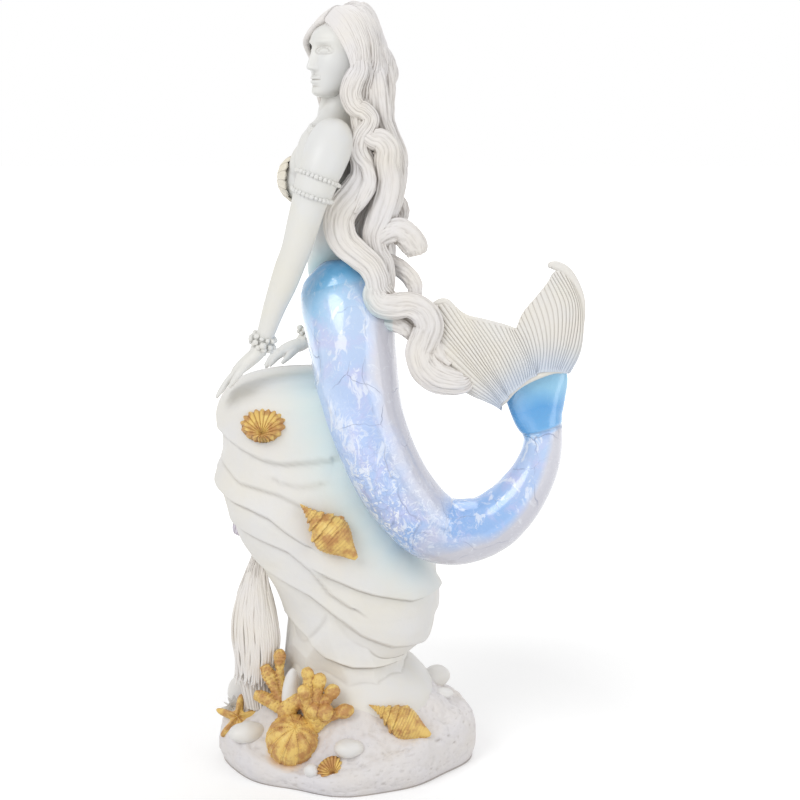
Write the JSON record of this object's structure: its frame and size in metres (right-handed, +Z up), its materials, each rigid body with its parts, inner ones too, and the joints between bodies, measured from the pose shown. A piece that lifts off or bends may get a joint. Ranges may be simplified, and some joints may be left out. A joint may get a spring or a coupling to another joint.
{
  "type": "mermaid figurine",
  "caption": "Cast resin mermaid with long wavy hair leaning back on a leaning rock, her blue pearl tail looped round to a ribbed white fluke, on a sandy base with shells and coral.",
  "frame": {"origin": "middle of the flat underside of the base", "axes": "+Z up; -Y towards the side where the near arm and the tail are; +X towards the fluke, so the mermaid looks towards -X"},
  "size_m": [0.183, 0.1242, 0.38],
  "materials": {
    "white_resin": "chalk-white cast resin, satin to matte, with a faint grey and cream wash in the creases",
    "pearl_tail": "iridescent pearl veneer, sky blue to lilac white, high gloss with fine crackle lines",
    "ochre_paint": "yellow ochre paint with a brown wash on the shells, coral, starfish and urchin"
  },
  "bodies": {
    "root": {"mermaid_casting": "white_resin"}
  },
  "joints": []
}
